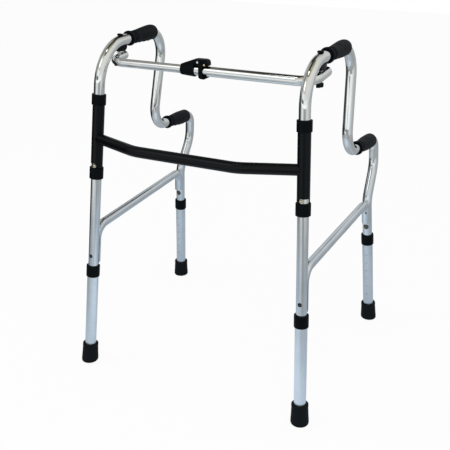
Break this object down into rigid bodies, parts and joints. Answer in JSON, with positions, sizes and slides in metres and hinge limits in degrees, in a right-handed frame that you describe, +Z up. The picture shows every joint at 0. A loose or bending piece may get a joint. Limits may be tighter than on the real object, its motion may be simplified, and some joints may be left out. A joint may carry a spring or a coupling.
{
  "type": "folding walking frame",
  "caption": "Folding walking frame with two grip heights on each side, a bowed cross brace, a latched telescoping top bar and legs that adjust in height.",
  "frame": {"origin": "on the floor, at the centre of the four feet", "axes": "+Z up, -Y to the front where the cross brace is, +X to the right as seen from the front"},
  "size_m": [0.6734, 0.5794, 0.8332],
  "materials": {
    "polished_tube": "polished",
    "satin_tube": "satin",
    "black_tube": "semi-gloss black",
    "black_plastic": "moulded black",
    "foot_rubber": "matt",
    "grip_rubber": "matt, finely ribbed",
    "bright_steel": "bright",
    "spring_steel": "dull",
    "brass": "bright",
    "grey_plastic": "moulded grey"
  },
  "bodies": {
    "h_frame": {"cross_brace": "black_tube", "left_hinge_sleeve": "black_tube", "right_hinge_sleeve": "black_tube", "left_lower_bush": "black_plastic", "left_upper_bush": "black_plastic", "right_lower_bush": "black_plastic", "right_upper_bush": "black_plastic"},
    "left_frame": {"left_side_tube": "polished_tube", "left_brace": "satin_tube", "left_upper_grip": "grip_rubber", "left_lower_grip": "grip_rubber", "left_bar_saddle": "black_plastic", "left_pivot_bolt": "black_plastic", "left_fold_spring": "spring_steel", "left_front_leaf_spring": "spring_steel", "left_rear_leaf_spring": "spring_steel"},
    "right_frame": {"right_side_tube": "polished_tube", "right_brace": "satin_tube", "right_upper_grip": "grip_rubber", "right_lower_grip": "grip_rubber", "right_bar_saddle": "black_plastic", "right_pivot_bolt": "black_plastic", "right_fold_spring": "spring_steel", "right_front_leaf_spring": "spring_steel", "right_rear_leaf_spring": "spring_steel", "right_pivot_knob": "black_plastic"},
    "bar_washer": {"right_pivot_washer": "grey_plastic"},
    "bar_outer": {"bar_outer_half": "polished_tube", "latch_body": "black_plastic", "latch_pin": "bright_steel", "latch_rivet": "brass", "right_bar_end_plug": "grey_plastic"},
    "bar_stop": {"bar_stop_plug": "black_plastic"},
    "bar_inner": {"bar_inner_half": "polished_tube", "left_pivot_stud": "bright_steel", "left_pivot_knob": "black_plastic", "left_bar_end_plug": "grey_plastic"},
    "latch_trigger": {"latch_lever": "black_plastic"},
    "left_front_leg": {"left_front_leg_tube": "satin_tube", "left_front_leg_collar": "black_plastic", "left_front_rubber_foot": "foot_rubber"},
    "left_rear_leg": {"left_rear_leg_tube": "satin_tube", "left_rear_leg_collar": "black_plastic", "left_rear_rubber_foot": "foot_rubber"},
    "right_front_leg": {"right_front_leg_tube": "satin_tube", "right_front_leg_collar": "black_plastic", "right_front_rubber_foot": "foot_rubber"},
    "right_rear_leg": {"right_rear_leg_tube": "satin_tube", "right_rear_leg_collar": "black_plastic", "right_rear_rubber_foot": "foot_rubber"},
    "left_front_button": {"left_front_snap_button": "bright_steel"},
    "left_rear_button": {"left_rear_snap_button": "bright_steel"},
    "right_front_button": {"right_front_snap_button": "bright_steel"},
    "right_rear_button": {"right_rear_snap_button": "bright_steel"},
    "left_fold_lock": {"left_fold_button": "bright_steel"},
    "right_fold_lock": {"right_fold_button": "bright_steel"}
  },
  "joints": [
    {"name": "left_fold", "type": "hinge", "parent": "h_frame", "child": "left_frame", "pos_m": [-0.25942, -0.21193, 0.6086], "axis": [0.0624, 0.0912, 0.9939], "range_deg": [-80, 0]},
    {"name": "right_fold", "type": "hinge", "parent": "h_frame", "child": "right_frame", "pos_m": [0.25942, -0.21193, 0.6086], "axis": [-0.0624, 0.0912, 0.9939], "range_deg": [0, 80]},
    {"name": "left_front_leg_slide", "type": "slide", "parent": "left_frame", "child": "left_front_leg", "axis": [0.0624, 0.0912, 0.9939], "range_m": [-0.12, 0]},
    {"name": "left_rear_leg_slide", "type": "slide", "parent": "left_frame", "child": "left_rear_leg", "axis": [0.0682, -0.087, 0.9939], "range_m": [-0.12, 0]},
    {"name": "right_front_leg_slide", "type": "slide", "parent": "right_frame", "child": "right_front_leg", "axis": [-0.0624, 0.0912, 0.9939], "range_m": [-0.12, 0]},
    {"name": "right_rear_leg_slide", "type": "slide", "parent": "right_frame", "child": "right_rear_leg", "axis": [-0.0682, -0.087, 0.9939], "range_m": [-0.12, 0]},
    {"name": "left_front_button_press", "type": "slide", "parent": "left_frame", "child": "left_front_button", "axis": [-0.0057, 0.9958, -0.0911], "range_m": [0, 0.004], "stiffness_N_per_m": 600, "springref_m": -0.002, "deforming": ["left_front_leaf_spring"]},
    {"name": "left_rear_button_press", "type": "slide", "parent": "left_frame", "child": "left_rear_button", "axis": [0.006, 0.9962, 0.0868], "range_m": [0, 0.004], "stiffness_N_per_m": 600, "springref_m": -0.002, "deforming": ["left_rear_leaf_spring"]},
    {"name": "right_front_button_press", "type": "slide", "parent": "right_frame", "child": "right_front_button", "axis": [0.0057, 0.9958, -0.0911], "range_m": [0, 0.004], "stiffness_N_per_m": 600, "springref_m": -0.002, "deforming": ["right_front_leaf_spring"]},
    {"name": "right_rear_button_press", "type": "slide", "parent": "right_frame", "child": "right_rear_button", "axis": [-0.006, 0.9962, 0.0868], "range_m": [0, 0.004], "stiffness_N_per_m": 600, "springref_m": -0.002, "deforming": ["right_rear_leaf_spring"]},
    {"name": "left_fold_lock_press", "type": "slide", "parent": "left_frame", "child": "left_fold_lock", "axis": [-0.1446, 0.9861, -0.0814], "range_m": [0, 0.004], "stiffness_N_per_m": 600, "springref_m": -0.002, "deforming": ["left_fold_spring"]},
    {"name": "right_fold_lock_press", "type": "slide", "parent": "right_frame", "child": "right_fold_lock", "axis": [0.1446, 0.9861, -0.0814], "range_m": [0, 0.004], "stiffness_N_per_m": 600, "springref_m": -0.002, "deforming": ["right_fold_spring"]},
    {"name": "bar_turn", "type": "hinge", "parent": "right_frame", "child": "bar_washer", "pos_m": [0.25163, -0.1133, 0.776], "axis": [-0.0637, 0.0806, 0.9947], "range_deg": [-89, 0]},
    {"name": "bar_swing", "type": "hinge", "parent": "bar_washer", "child": "bar_outer", "pos_m": [0.25163, -0.1133, 0.776], "axis": [-0.0675, -0.0069, 0.9977], "range_deg": [0, 9]},
    {"name": "bar_stop_travel", "type": "slide", "parent": "bar_outer", "child": "bar_stop", "axis": [1, 0, 0], "range_m": [0, 0.084]},
    {"name": "bar_telescope", "type": "slide", "parent": "bar_stop", "child": "bar_inner", "axis": [1, 0, 0], "range_m": [0, 0.084]},
    {"name": "latch_squeeze", "type": "hinge", "parent": "bar_outer", "child": "latch_trigger", "pos_m": [-0.0114, -0.1555, 0.7965], "axis": [0, 1, 0], "range_deg": [0, 9], "stiffness_Nm_per_rad": 0.6, "springref_deg": -11.46}
  ],
  "couplings": [
    {"joint": "bar_turn", "follows": "right_fold", "ratio": -1.1038},
    {"joint": "bar_swing", "follows": "left_fold", "ratio": -0.1046},
    {"joint": "bar_stop_travel", "follows": "right_fold", "m_per_rad": 0.0592},
    {"joint": "bar_telescope", "follows": "left_fold", "m_per_rad": -0.0592}
  ]
}
